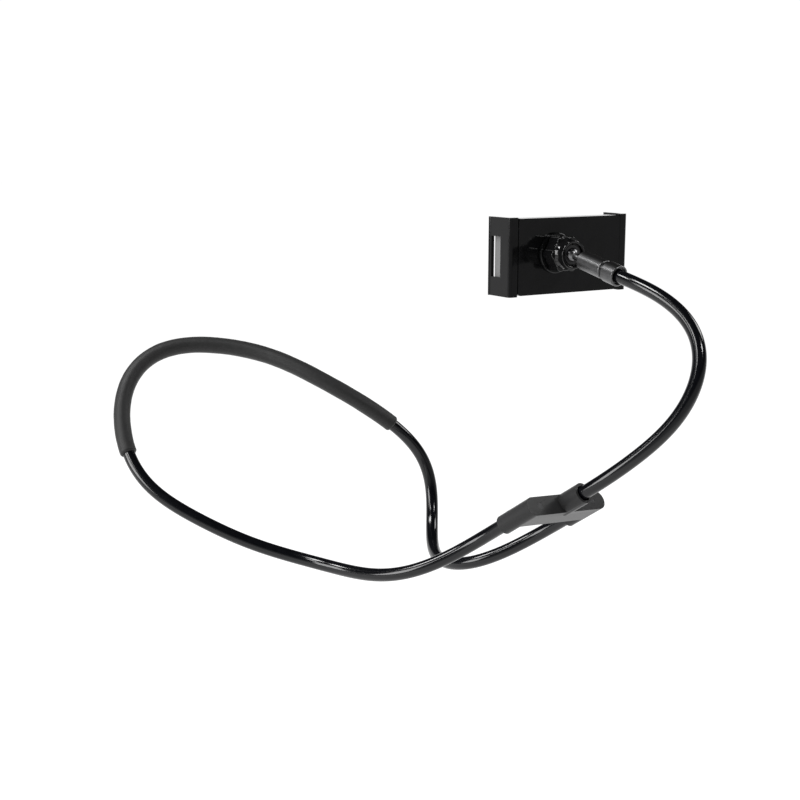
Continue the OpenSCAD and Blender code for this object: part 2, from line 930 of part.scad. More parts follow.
module front_cover() {
    color([0.06, 0.06, 0.07])
        at_housing()
            difference() {
                union() {
                    difference() {
                        slab(back_t, clamp_t) housing_outline();
                        slab(back_t - over, clamp_t - shell_wall) cavity_outline();
                    }
                    cover_screw_places() pillar(boss_r, back_t, clamp_t - shell_wall / 2);
                    above_and_below(rod_z)
                        translate([holder_x, rod_y - rod_r - runner_wall, -holder_h / 2])
                            cube([holder_l, clamp_t - shell_wall / 2 - rod_y + rod_r + runner_wall, holder_h]);
                    above_and_below(jaw_screw_z)
                        translate([-jaw_screw_x, 0, 0])
                            pillar(boss_r, tongue_y + jaw_wall, clamp_t - shell_wall / 2);
                }
                above_and_below(rod_z)
                    translate([rod_start_x - pin_gap, rod_y, 0])
                        rotate([0, 90, 0])
                            cylinder(
                                r = rod_r + thread_gap,
                                h = housing_w / 2 - shell_wall + rod_bite - rod_start_x + 2 * pin_gap,
                                $fn = fine
                            );
                cover_screw_places() {
                    pillar(screw_r + thread_gap, back_t - over, clamp_t + over);
                    pillar(screw_head_r + thread_gap, clamp_t - screw_head_t - 2 * thread_gap, clamp_t + over);
                }
                above_and_below(jaw_screw_z)
                    translate([-jaw_screw_x, 0, 0])
                        pillar(screw_r + thread_gap, tongue_y, tongue_y + jaw_screw_l + pin_gap);
                above_and_below(spring_z)
                    translate([spring_start_x, 0, 0])
                        pillar(pin_r + thread_gap, rod_y, clamp_t - shell_wall / 2);
            }
}

module cover_screws() {
    color([0.4, 0.4, 0.4])
        at_housing()
            cover_screw_places()
                translate([0, clamp_t - thread_gap, 0])
                    rotate([-90, 0, 0])
                        screw(screw_r, cover_screw_l - pin_gap, screw_head_r, screw_head_t);
}

module phone_pad() {
    color([0.12, 0.12, 0.12])
        at_housing()
            slab(clamp_t, clamp_t + phone_pad_t)
                rounded_outline(
                    housing_w - 2 * phone_pad_side,
                    housing_h - 2 * phone_pad_top,
                    phone_pad_corner
                );
}

// Outline of a jaw seen from above: x outwards from the housing's end, y towards the phone.
// Its base has a rounded outer corner and its tip flares outwards.
module jaw_outline() {
    wall_x = jaw_out - jaw_wall;
    reach = 2 * (flare_r + jaw_wall);
    translate([jaw_clear, jaw_back_y])
        square([wall_x - jaw_clear, tongue_y + jaw_wall - jaw_back_y]);
    translate([wall_x, jaw_back_y + jaw_wall])
        intersection() {
            circle(r = jaw_wall, $fn = fine);
            translate([0, -jaw_wall])
                square([jaw_wall, jaw_wall]);
        }
    translate([wall_x, jaw_back_y + jaw_wall])
        square([jaw_wall, flare_y - jaw_back_y - jaw_wall]);
    translate([jaw_out + flare_r, flare_y])
        intersection() {
            difference() {
                circle(r = flare_r + jaw_wall, $fn = fine);
                circle(r = flare_r, $fn = fine);
            }
            polygon([[0, 0], reach * [-cos(flare_angle), sin(flare_angle)], [-reach, 0]]);
        }
}

// Jaw on the housing's right end with a tongue that reaches inwards
module jaw(tongue_l) {
    difference() {
        union() {
            translate([housing_w / 2, 0, -jaw_h / 2])
                linear_extrude(height = jaw_h)
                    jaw_outline();
            translate([housing_w / 2 - tongue_l, tongue_y, -tongue_h / 2])
                cube([tongue_l + jaw_out - jaw_wall, jaw_wall, tongue_h]);
        }
        translate([housing_w / 2 + jaw_out - jaw_wall - over, window_y, -window_h / 2])
            cube([jaw_wall + 2 * over, window_end_y - window_y, window_h]);
    }
}

// Rubber pad on a jaw's inner face, behind its window
module jaw_pad() {
    h = window_h + 2 * pad_margin;
    translate([housing_w / 2 + jaw_out - jaw_wall - pad_t, window_y + pad_margin, -h / 2])
        cube([pad_t, flare_y - window_y - 2 * pad_margin, h]);
}

module fixed_jaw() {
    color([0.04, 0.04, 0.05])
        at_housing()
            difference() {
                mirror([1, 0, 0]) jaw(fixed_tongue_l);
                above_and_below(jaw_screw_z)
                    translate([-jaw_screw_x, 0, 0]) {
                        pillar(screw_r + thread_gap, tongue_y - over, tongue_y + jaw_wall + over);
                        pillar(screw_head_r + thread_gap, tongue_y - over, tongue_y + screw_head_t + thread_gap);
                    }
            }
}

module jaw_screws() {
    color([0.5, 0.5, 0.5])
        at_housing()
            above_and_below(jaw_screw_z)
                translate([-jaw_screw_x, tongue_y, 0])
                    rotate([90, 0, 0])
                        screw(screw_r, jaw_screw_l, screw_head_r, screw_head_t);
}

module fixed_jaw_pad() {
    color([0.4, 0.4, 0.4])
        at_housing()
            mirror([1, 0, 0]) jaw_pad();
}

module sliding_jaw() {
    runner_top = rod_y + rod_r + runner_wall;
    color([0.04, 0.04, 0.05])
        at_housing()
            difference() {
                union() {
                    jaw(slide_tongue_l);
                    above_and_below(rod_z)
                        translate([slide_end_x, tongue_y + jaw_wall / 2, -rod_r - 2 * runner_wall])
                            cube([runner_l, runner_top - tongue_y - jaw_wall / 2, 2 * rod_r + 4 * runner_wall]);
                }
                above_and_below(rod_z)
                    translate([slide_end_x - over, rod_y, 0])
                        rotate([0, 90, 0])
                            cylinder(r = rod_r + rod_gap, h = runner_l + 2 * over, $fn = fine);
                above_and_below(spring_z)
                    translate([spring_end_x, 0, 0])
                        pillar(pin_r + thread_gap, tongue_y + jaw_wall / 2, tongue_y + jaw_wall + over);
            }
}

module sliding_jaw_pad() {
    color([0.4, 0.4, 0.4])
        at_housing()
            jaw_pad();
}

module guide_rods() {
    color([0.7, 0.7, 0.72])
        at_housing()
            above_and_below(rod_z)
                translate([rod_start_x, rod_y, 0])
                    rotate([0, 90, 0])
                        cylinder(r = rod_r, h = housing_w / 2 - shell_wall + rod_bite - rod_start_x, $fn = fine);
}

module cover_spring_pins() {
    color([0.6, 0.6, 0.6])
        at_housing()
            above_and_below(spring_z)
                translate([spring_start_x, 0, 0])
                    pillar(pin_r, tongue_y + jaw_wall, clamp_t - shell_wall / 2 - pin_gap);
}

module jaw_spring_pins() {
    color([0.6, 0.6, 0.6])
        at_housing()
            above_and_below(spring_z)
                translate([spring_end_x, 0, 0])
                    pillar(pin_r, tongue_y + jaw_wall / 2 + pin_gap, clamp_t - shell_wall - pin_gap);
}

// Eye of a spring round a pin at x
module spring_eye(x) {
    translate([x, 0, 0])
        difference() {
            pillar(spring_eye_r, -spring_wire / 2, spring_wire / 2);
            pillar(pin_r + pin_gap, -spring_wire, spring_wire);
        }
}

// Tube or rod of radius r along X
module lengthways(r, from, to) {
    translate([from, 0, 0])
        rotate([0, 90, 0])
            cylinder(r = r, h = to - from, $fn = fine);
}

// Two tension springs, drawn as tubes with an eye on the cover's pin
module clamp_springs() {
    from = spring_start_x + spring_eye_r - spring_wire / 2;
    to = spring_end_x - spring_eye_r - spring_gap;
    color([0.6, 0.6, 0.6])
        at_housing()
            above_and_below(spring_z)
                translate([0, rod_y, 0]) {
                    spring_eye(spring_start_x);
                    difference() {
                        lengthways(spring_r, from, to);
                        lengthways(spring_r - spring_wire, from + spring_wire, to - spring_wire);
                    }
                }
}

// The springs' other eyes, which the sliding jaw pulls along
module spring_hooks() {
    color([0.6, 0.6, 0.6])
        at_housing()
            above_and_below(spring_z)
                translate([0, rod_y, 0])
                    spring_eye(spring_end_x);
}

neck_sleeve();
neck_core();
neck_end_plugs();
foam_sleeve();
arm_sleeve(1);  // arm_sleeve_1
arm_sleeve(2);  // arm_sleeve_2
arm_sleeve(3);  // arm_sleeve_3
arm_sleeve(4);  // arm_sleeve_4
arm_sleeve(5);  // arm_sleeve_5
arm_core(1);  // arm_core_1
arm_core(2);  // arm_core_2
arm_core(3);  // arm_core_3
arm_core(4);  // arm_core_4
arm_core(5);  // arm_core_5
arm_end_plug();
connector_back();
connector_front();
connector_screws();
grub_screws();
collar();
swivel_washer();
ferrule();
ball_stud();
retaining_clip();
ball_seat();
pressure_ring();
lock_nut();
ball_socket();
socket_screws();
back_cover();
front_cover();
phone_pad();
fixed_jaw();
fixed_jaw_pad();
jaw_screws();
sliding_jaw();
sliding_jaw_pad();
guide_rods();
clamp_springs();
spring_hooks();
cover_spring_pins();
jaw_spring_pins();
cover_screws();
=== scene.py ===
import json
import math

import bmesh
import bpy
import numpy
from mathutils import Matrix, Vector, noise


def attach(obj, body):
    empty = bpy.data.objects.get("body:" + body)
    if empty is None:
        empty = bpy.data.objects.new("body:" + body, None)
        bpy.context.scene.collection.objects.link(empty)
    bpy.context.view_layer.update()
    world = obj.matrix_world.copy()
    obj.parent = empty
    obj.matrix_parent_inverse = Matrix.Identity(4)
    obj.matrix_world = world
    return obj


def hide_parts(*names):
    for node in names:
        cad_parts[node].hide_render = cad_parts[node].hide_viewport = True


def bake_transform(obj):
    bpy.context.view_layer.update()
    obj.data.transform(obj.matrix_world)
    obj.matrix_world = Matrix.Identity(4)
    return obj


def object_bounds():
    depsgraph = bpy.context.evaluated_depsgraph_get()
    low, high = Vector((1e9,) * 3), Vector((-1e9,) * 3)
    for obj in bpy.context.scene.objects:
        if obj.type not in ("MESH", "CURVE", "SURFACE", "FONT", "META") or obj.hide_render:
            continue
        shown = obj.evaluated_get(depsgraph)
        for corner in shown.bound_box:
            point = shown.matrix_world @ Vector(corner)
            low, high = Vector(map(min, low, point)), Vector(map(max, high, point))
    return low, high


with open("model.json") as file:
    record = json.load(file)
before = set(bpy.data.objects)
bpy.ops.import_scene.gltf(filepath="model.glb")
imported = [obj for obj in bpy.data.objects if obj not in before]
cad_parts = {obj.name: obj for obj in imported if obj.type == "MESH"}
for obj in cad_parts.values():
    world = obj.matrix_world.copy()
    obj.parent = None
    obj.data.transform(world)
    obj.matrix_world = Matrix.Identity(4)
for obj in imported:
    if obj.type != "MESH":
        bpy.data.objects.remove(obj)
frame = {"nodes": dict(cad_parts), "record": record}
cad_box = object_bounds()
nodes = frame["nodes"]


# The camera stands in front of the wearer's right shoulder and looks slightly down,
# which is how the photograph shows the holder. The picture is developed with plain contrast.
MM = 0.001


def millimetres(x, y, z):
    return Vector((x, y, z)) * MM


bpy.context.scene.view_settings.view_transform = "Standard"
# The photograph's width and focal length, in pixels
PHOTO_WIDTH = 800
PHOTO_FOCUS = 1336
CAMERA_AT = millimetres(-378.1, -809.3, 141.8)
CAMERA_TURN = math.radians(32)
CAMERA_DROP = math.radians(11)
camera_data = bpy.data.cameras.new("camera")
camera_data.sensor_width = 36
camera_data.lens = camera_data.sensor_width * PHOTO_FOCUS / PHOTO_WIDTH
camera_data.clip_start = 0.01
camera_data.clip_end = 50
camera = bpy.data.objects.new("camera", camera_data)
bpy.context.scene.collection.objects.link(camera)
camera.location = CAMERA_AT
look = Vector((
    math.sin(CAMERA_TURN) * math.cos(CAMERA_DROP),
    math.cos(CAMERA_TURN) * math.cos(CAMERA_DROP),
    -math.sin(CAMERA_DROP),
))
camera.rotation_euler = look.to_track_quat("-Z", "Y").to_euler()
bpy.context.scene.camera = camera


# The floor is a wide sheet of white film, lit from below like a photographer's light table and
# less so toward the camera. The holder hangs in the air above it, as it does round a neck.
FLOOR_DROP = 0.12
FLOOR_HALF = 12.0
GLOW_DIM_AT = -1.0
GLOW_FULL_AT = -0.55
DIM_GLOW = 0.45
FULL_GLOW = 1.0
floor_z = cad_box[0].z - FLOOR_DROP
floor_mesh = bpy.data.meshes.new("floor")
floor_mesh.from_pydata(
    [(x * FLOOR_HALF, y * FLOOR_HALF, floor_z) for x, y in ((-1, -1), (1, -1), (1, 1), (-1, 1))],
    [],
    [(0, 1, 2, 3)],
)
floor = bpy.data.objects.new("floor", floor_mesh)
bpy.context.scene.collection.objects.link(floor)
floor_paper = bpy.data.materials.new("floor_paper")
floor_paper.use_nodes = True
paper_tree = floor_paper.node_tree
paper = paper_tree.nodes["Principled BSDF"]
paper.inputs["Base Color"].default_value = (0.2, 0.2, 0.2, 1)
paper.inputs["Roughness"].default_value = 0.9
paper.inputs["Specular IOR Level"].default_value = 0.1
paper.inputs["Emission Color"].default_value = (1, 1, 1, 1)
film_place = paper_tree.nodes.new("ShaderNodeTexCoord")
film_split = paper_tree.nodes.new("ShaderNodeSeparateXYZ")
paper_tree.links.new(film_place.outputs["Object"], film_split.inputs["Vector"])
glow = paper_tree.nodes.new("ShaderNodeMapRange")
glow.inputs["From Min"].default_value = GLOW_DIM_AT
glow.inputs["From Max"].default_value = GLOW_FULL_AT
glow.inputs["To Min"].default_value = DIM_GLOW
glow.inputs["To Max"].default_value = FULL_GLOW
paper_tree.links.new(film_split.outputs["Y"], glow.inputs["Value"])
paper_tree.links.new(glow.outputs["Result"], paper.inputs["Emission Strength"])
floor_mesh.materials.append(floor_paper)


# The studio: a white wall behind the holder, grey walls round the photographer and a dark
# ceiling. The reflections of six soft boxes run along the tube as bright streaks.
world = bpy.data.worlds.new("studio")
bpy.context.scene.world = world
world.use_nodes = True
sky = world.node_tree
background = sky.nodes["Background"]
direction = sky.nodes.new("ShaderNodeTexCoord")
split = sky.nodes.new("ShaderNodeSeparateXYZ")
sky.links.new(direction.outputs["Generated"], split.inputs["Vector"])
turned = sky.nodes.new("ShaderNodeVectorMath")
turned.operation = "DOT_PRODUCT"
turned.inputs[1].default_value = (0.57, 0.82, 0.0)
sky.links.new(direction.outputs["Generated"], turned.inputs[0])
toward_back = sky.nodes.new("ShaderNodeMapRange")
toward_back.inputs["From Min"].default_value = -1.0
sky.links.new(turned.outputs["Value"], toward_back.inputs["Value"])
walls = sky.nodes.new("ShaderNodeValToRGB")
sky.links.new(toward_back.outputs["Result"], walls.inputs["Fac"])
walls.color_ramp.elements[0].position = 0.74
walls.color_ramp.elements[0].color = (0.4, 0.4, 0.4, 1)
walls.color_ramp.elements[1].position = 0.93
walls.color_ramp.elements[1].color = (1, 1, 1, 1)
ceiling = sky.nodes.new("ShaderNodeValToRGB")
sky.links.new(split.outputs["Z"], ceiling.inputs["Fac"])
ceiling.color_ramp.elements[0].position = 0.13
ceiling.color_ramp.elements[0].color = (1, 1, 1, 1)
ceiling.color_ramp.elements[1].position = 0.28
ceiling.color_ramp.elements[1].color = (0.03, 0.03, 0.03, 1)
room = sky.nodes.new("ShaderNodeMix")
room.data_type = "RGBA"
room.blend_type = "MULTIPLY"
room.inputs["Factor"].default_value = 1.0
sky.links.new(walls.outputs["Color"], room.inputs[6])
sky.links.new(ceiling.outputs["Color"], room.inputs[7])
sky.links.new(room.outputs[2], background.inputs["Color"])
background.inputs["Strength"].default_value = 1.05

middle_of_part = (cad_box[0] + cad_box[1]) / 2
LAMP_DISTANCE = 1.4
SIDE_LAMP_DISTANCE = 1.3


def soft_box(name, toward, distance, width, height, power):
    """Lamp at a distance from the part's middle, which it faces. Its width lies level."""
    data = bpy.data.lights.new(name, "AREA")
    data.shape = "RECTANGLE"
    data.size = width
    data.size_y = height
    data.energy = power
    lamp = bpy.data.objects.new(name, data)
    bpy.context.scene.collection.objects.link(lamp)
    at = middle_of_part + distance * Vector(toward)
    lamp.location = at
    lamp.rotation_euler = (middle_of_part - at).to_track_quat("-Z", "Y").to_euler()


soft_box("key_box", (-0.46, 0.12, 0.87), LAMP_DISTANCE, 0.34, 0.3, 9)
soft_box("back_box", (-0.58, 0.42, 0.7), LAMP_DISTANCE, 0.24, 0.24, 5)
soft_box("left_box", (-0.75, -0.1, 0.65), LAMP_DISTANCE, 0.25, 0.25, 3)
soft_box("side_box", (-0.95, 0.1, 0.25), SIDE_LAMP_DISTANCE, 0.6, 0.6, 11)
soft_box("front_box", (0.3, -0.72, 0.62), LAMP_DISTANCE, 0.2, 0.2, 4)
soft_box("right_box", (0.8, -0.2, 0.56), LAMP_DISTANCE, 0.45, 0.45, 5)


# The gooseneck's path. The neck loop runs from one socket of the connector round the nape to
# the other, and the arm runs from the connector's sleeve to the collar behind the ball.
def unit(vector):
    return vector / vector.length


def bend_tangent(points, i):
    """Direction at a way point of the circle through it and its two neighbours."""
    behind = points[i] - points[i - 1]
    ahead = points[i + 1] - points[i]
    return unit(behind / behind.dot(behind) + ahead / ahead.dot(ahead))


def join_point(start, leaving, end, arriving):
    """Where two arcs meet that leave the start and reach the end in the given directions."""
    chord = end - start
    turn = 2 * (1 - leaving.dot(arriving))
    reach = chord.dot(leaving + arriving)
    handle = (math.sqrt(reach * reach + turn * chord.dot(chord)) - reach) / turn
    return (start + handle * leaving + end - handle * arriving) / 2


def arcs_through(points, first, last):
    """Pairs of arcs from each way point to the next. Each is a start, its tangent and an end."""
    arcs = []
    for i in range(len(points) - 1):
        leaving = first if i == 0 else bend_tangent(points, i)
        arriving = last if i == len(points) - 2 else bend_tangent(points, i + 1)
        meeting = join_point(points[i], leaving, points[i + 1], arriving)
        chord = unit(meeting - points[i])
        arcs.append((points[i], leaving, meeting))
        arcs.append((meeting, 2 * chord.dot(leaving) * chord - leaving, points[i + 1]))
    return arcs


def stations_along(arc, step):
    """Points and tangents along an arc, without its start."""
    start, tangent, end = arc
    chord = end - start
    along = chord.dot(tangent)
    inward = unit(chord - along * tangent)
    half = math.atan2((chord - along * tangent).length, along)
    radius = chord.length / (2 * math.sin(half))
    count = max(2, math.ceil(2 * half * radius / step))
    found = []
    for k in range(1, count + 1):
        angle = 2 * half * k / count
        found.append((
            start + radius * ((1 - math.cos(angle)) * inward + math.sin(angle) * tangent),
            math.cos(angle) * tangent + math.sin(angle) * inward,
        ))
    return found


def straight(start, tangent, length, step):
    """Points and tangents along a straight stretch, its start included."""
    count = max(1, math.ceil(abs(length) / step))
    return [(start + tangent * length * k / count, tangent) for k in range(count + 1)]


HELD_WEIGHT = 1e9


def eased(path, step, shortest_wave, held):
    """Path whose curve changes as gently as the bent rod's does. Waves shorter than the given
    length are taken out, and the given length at both ends is held in its socket."""
    count = len(path)
    held_count = round(held / step)
    places = numpy.array([list(at) for at, _ in path])
    weights = numpy.ones(count)
    weights[:held_count] = HELD_WEIGHT
    weights[count - held_count :] = HELD_WEIGHT
    change = numpy.diff(numpy.eye(count), n=3, axis=0)
    stiffness = (shortest_wave / (2 * math.pi * step)) ** 6
    smooth = numpy.linalg.solve(
        numpy.diag(weights) + stiffness * change.T @ change, weights[:, None] * places
    )
    points = [Vector(row) for row in smooth]
    found = []
    for k in range(count):
        ahead = points[min(k + 1, count - 1)]
        behind = points[max(k - 1, 0)]
        found.append((points[k], unit(ahead - behind)))
    return found


def framed(stations):
    """Adds to each station two directions across the path that don't twist."""
    side = unit(stations[0][1].orthogonal())
    found = []
    before = stations[0][1]
    for at, tangent in stations:
        side = before.rotation_difference(tangent) @ side
        side = unit(side - side.dot(tangent) * tangent)
        found.append((at, tangent, side, tangent.cross(side)))
        before = tangent
    return found


CONNECTOR_AT = millimetres(97, -230, -63)
CONNECTOR_TURN = math.radians(15)
CONNECTOR_LEAN = math.radians(55)
CONNECTOR_ROLL = math.radians(-8)
connector_frame = (
    Matrix.Translation(CONNECTOR_AT)
    @ Matrix.Rotation(CONNECTOR_TURN, 4, "Z")
    @ Matrix.Rotation(CONNECTOR_LEAN, 4, "X")
    @ Matrix.Rotation(CONNECTOR_ROLL, 4, "Z")
)
front_dir = (connector_frame.to_3x3() @ Vector((0, 0, 1))).normalized()
SOCKET_SPACING = 56 * MM
BARREL_L = 26 * MM
SOCKET_DEPTH = 14 * MM
LOOP_STEP = 1.0 * MM
LOOP_WAVE = 85 * MM
loop_start = connector_frame @ Vector((-SOCKET_SPACING / 2, 0, -BARREL_L))
loop_end = connector_frame @ Vector((SOCKET_SPACING / 2, 0, -BARREL_L))
loop_points = [
    loop_start,
    millimetres(25, -162, -112),
    millimetres(-2, -101, -116),
    millimetres(-43, -65, -100),
    millimetres(-82, -6, -56),
    millimetres(-57, 25, -2),
    millimetres(2, 3, 4),
    millimetres(43, -41, -16),
    millimetres(80, -66, -45),
    millimetres(103, -75, -75),
    millimetres(96, -90, -112),
    millimetres(78, -133, -121),
    loop_end,
]
loop_path = straight(loop_start + SOCKET_DEPTH * front_dir, -front_dir, SOCKET_DEPTH, LOOP_STEP)
loop_marks = []
for arc in arcs_through(loop_points, -front_dir, front_dir):
    loop_marks.append(len(loop_path) - 1)
    loop_path += stations_along(arc, LOOP_STEP)
loop_path += straight(loop_end, front_dir, SOCKET_DEPTH, LOOP_STEP)[1:]
loop_path = eased(loop_path, LOOP_STEP, LOOP_WAVE, SOCKET_DEPTH)


# The neck loop's skin: a thick PVC hose, moulded smooth and glossy blue-black over the alloy
# rod. Both its ends are pushed into the connector and locked there by grub screws.
HOSE_SIDES = 56
TUBE_R = 4 * MM
TUBE_BORE_R = 2.85 * MM


def ring_mesh(name, rings):
    """Mesh of quads between rings of points. The last ring joins the first."""
    sides = len(rings[0])
    count = len(rings)
    points = [point for row in rings for point in row]
    faces = []
    for m in range(count):
        n = (m + 1) % count
        for k in range(sides):
            j = (k + 1) % sides
            faces.append((m * sides + k, m * sides + j, n * sides + j, n * sides + k))
    mesh = bpy.data.meshes.new(name)
    mesh.from_pydata(points, [], faces)
    mesh.update()
    edit = bmesh.new()
    edit.from_mesh(mesh)
    bmesh.ops.recalc_face_normals(edit, faces=edit.faces)
    edit.to_mesh(mesh)
    edit.free()
    return mesh


def ring(station, radius, sides):
    at, _, x, y = station
    return [
        at + radius * (math.cos(2 * math.pi * k / sides) * x + math.sin(2 * math.pi * k / sides) * y)
        for k in range(sides)
    ]


def new_piece(name, mesh, material, sharp=40):
    """Object of a mesh that is smooth apart from its edges sharper than the given degrees."""
    piece = bpy.data.objects.new(name, mesh)
    bpy.context.scene.collection.objects.link(piece)
    mesh.materials.clear()
    mesh.materials.append(material)
    edit = bmesh.new()
    edit.from_mesh(mesh)
    for face in edit.faces:
        face.smooth = True
        face.material_index = 0
    for edge in edit.edges:
        edge.smooth = len(edge.link_faces) == 2 and edge.calc_face_angle(0) < math.radians(sharp)
    edit.to_mesh(mesh)
    edit.free()
    return piece


def hose(name, stations, outer, inner, material):
    rings = [ring(s, outer, HOSE_SIDES) for s in stations]
    rings += [ring(s, inner, HOSE_SIDES) for s in reversed(stations)]
    return new_piece(name, ring_mesh(name, rings), material)


def finish_of(name, colour, other, roughness, spread, grain, bump, metallic=0.0, specular=0.5):
    """Material whose colour, gloss and surface all vary a little over patches of the grain's size."""
    made = bpy.data.materials.new(name)
    made.use_nodes = True
    tree = made.node_tree
    shader = tree.nodes["Principled BSDF"]
    place = tree.nodes.new("ShaderNodeTexCoord")
    patches = tree.nodes.new("ShaderNodeTexNoise")
    patches.inputs["Scale"].default_value = 1 / grain
    patches.inputs["Detail"].default_value = 6
    patches.inputs["Roughness"].default_value = 0.6
    tree.links.new(place.outputs["Object"], patches.inputs["Vector"])
    shades = tree.nodes.new("ShaderNodeValToRGB")
    shades.color_ramp.elements[0].position = 0.3
    shades.color_ramp.elements[0].color = (*colour, 1)
    shades.color_ramp.elements[1].position = 0.75
    shades.color_ramp.elements[1].color = (*other, 1)
    tree.links.new(patches.outputs["Fac"], shades.inputs["Fac"])
    tree.links.new(shades.outputs["Color"], shader.inputs["Base Color"])
    gloss = tree.nodes.new("ShaderNodeMapRange")
    gloss.inputs["To Min"].default_value = roughness - spread
    gloss.inputs["To Max"].default_value = roughness + spread
    tree.links.new(patches.outputs["Fac"], gloss.inputs["Value"])
    tree.links.new(gloss.outputs["Result"], shader.inputs["Roughness"])
    relief = tree.nodes.new("ShaderNodeBump")
    relief.inputs["Strength"].default_value = 1.0
    relief.inputs["Distance"].default_value = bump
    tree.links.new(patches.outputs["Fac"], relief.inputs["Height"])
    tree.links.new(relief.outputs["Normal"], shader.inputs["Normal"])
    shader.inputs["Metallic"].default_value = metallic
    shader.inputs["Specular IOR Level"].default_value = specular
    return made


tube_skin = finish_of(
    "glossy_blue_black_pvc", (0.002, 0.0022, 0.003), (0.004, 0.0042, 0.0055),
    roughness=0.14, spread=0.005, grain=5 * MM, bump=0.001 * MM, specular=0.4,
)
neck_skin = hose("neck_skin", framed(loop_path), TUBE_R, TUBE_BORE_R, tube_skin)
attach(neck_skin, "neck")
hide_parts("neck_sleeve")


# The rods inside the tubes: soft aluminium wire, drawn to size, which bends by hand and
# stays bent. They show nowhere on the whole holder.
def dress(names, material):
    """Gives CAD nodes a material."""
    for name in names:
        mesh = nodes[name].data
        mesh.materials.clear()
        mesh.materials.append(material)


alloy = finish_of(
    "drawn_alloy", (0.58, 0.58, 0.6), (0.7, 0.7, 0.72),
    roughness=0.32, spread=0.08, grain=1.5 * MM, bump=0.005 * MM, metallic=1.0,
)
dress(["neck_core"] + [f"arm_core_{k}" for k in range(1, 6)], alloy)


# The plugs: turned brass inserts that close the tube's ends inside the connector, so that
# the lock screws bite on something hard.
brass = finish_of(
    "turned_brass", (0.62, 0.43, 0.17), (0.74, 0.55, 0.25),
    roughness=0.28, spread=0.08, grain=1 * MM, bump=0.004 * MM, metallic=1.0,
)
dress(["neck_end_plugs", "arm_end_plug"], brass)


# The foam sleeve: closed-cell foam rubber, extruded with a skin of fine pores and pushed over
# the loop where it lies on the nape. It grips the tube by its own stretch.
FOAM_R = 5.5 * MM
FOAM_BORE_R = 4.08 * MM
FOAM_SIDES = 64
FOAM_EDGE = 0.7 * MM
FOAM_FIRST_ARC = 8
FOAM_LAST_ARC = 16
# The surface swells and sinks a little, in long waves with a share of short ones
FOAM_SWELL = 0.14 * MM
LONG_WAVE = 16 * MM
SHORT_WAVE = 4 * MM
SHORT_WAVE_SHARE = 0.45
SWELL_MIDDLE = 0.4
PORE = 0.55 * MM
MOTTLE = 1.6 * MM
foam_stations = framed(loop_path[loop_marks[FOAM_FIRST_ARC] : loop_marks[FOAM_LAST_ARC] + 1])
foam_rings = []
last_station = len(foam_stations) - 1
for k, station in enumerate(foam_stations):
    end_distance = min(k, last_station - k) * LOOP_STEP
    rounding = 0.0
    if end_distance < FOAM_EDGE:
        rounding = FOAM_EDGE - math.sqrt(FOAM_EDGE**2 - (FOAM_EDGE - end_distance) ** 2)
    at, _, x, y = station
    points = []
    for j in range(FOAM_SIDES):
        angle = 2 * math.pi * j / FOAM_SIDES
        out = math.cos(angle) * x + math.sin(angle) * y
        place = at + FOAM_R * out
        swell = noise.noise(place / LONG_WAVE) + SHORT_WAVE_SHARE * noise.noise(place / SHORT_WAVE)
        points.append(at + out * (FOAM_R - rounding + FOAM_SWELL * (swell - SWELL_MIDDLE)))
    foam_rings.append(points)
foam_rings += [ring(s, FOAM_BORE_R, FOAM_SIDES) for s in reversed(foam_stations)]
foam_skin = bpy.data.materials.new("foam_rubber")
foam_skin.use_nodes = True
foam_tree = foam_skin.node_tree
foam_shader = foam_tree.nodes["Principled BSDF"]
foam_place = foam_tree.nodes.new("ShaderNodeTexCoord")
pores = foam_tree.nodes.new("ShaderNodeTexVoronoi")
pores.inputs["Scale"].default_value = 1 / PORE
foam_tree.links.new(foam_place.outputs["Object"], pores.inputs["Vector"])
mottle = foam_tree.nodes.new("ShaderNodeTexNoise")
mottle.inputs["Scale"].default_value = 1 / MOTTLE
mottle.inputs["Detail"].default_value = 8
mottle.inputs["Roughness"].default_value = 0.7
foam_tree.links.new(foam_place.outputs["Object"], mottle.inputs["Vector"])
foam_shades = foam_tree.nodes.new("ShaderNodeValToRGB")
foam_shades.color_ramp.elements[0].position = 0.25
foam_shades.color_ramp.elements[0].color = (0.007, 0.007, 0.007, 1)
foam_shades.color_ramp.elements[1].position = 0.8
foam_shades.color_ramp.elements[1].color = (0.014, 0.014, 0.0143, 1)
foam_tree.links.new(mottle.outputs["Fac"], foam_shades.inputs["Fac"])
foam_tree.links.new(foam_shades.outputs["Color"], foam_shader.inputs["Base Color"])
foam_shader.inputs["Roughness"].default_value = 0.52
foam_shader.inputs["Sheen Weight"].default_value = 0.1
foam_shader.inputs["Sheen Roughness"].default_value = 0.5
foam_shader.inputs["Specular IOR Level"].default_value = 0.28
height = foam_tree.nodes.new("ShaderNodeMath")
height.operation = "ADD"
foam_tree.links.new(pores.outputs["Distance"], height.inputs[0])
foam_tree.links.new(mottle.outputs["Fac"], height.inputs[1])
foam_relief = foam_tree.nodes.new("ShaderNodeBump")
foam_relief.inputs["Strength"].default_value = 0.9
foam_relief.inputs["Distance"].default_value = 0.05 * MM
foam_tree.links.new(height.outputs[0], foam_relief.inputs["Height"])
foam_tree.links.new(foam_relief.outputs["Normal"], foam_shader.inputs["Normal"])
foam = new_piece("foam", ring_mesh("foam", foam_rings), foam_skin, sharp=60)
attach(foam, "neck")
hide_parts("foam_sleeve")


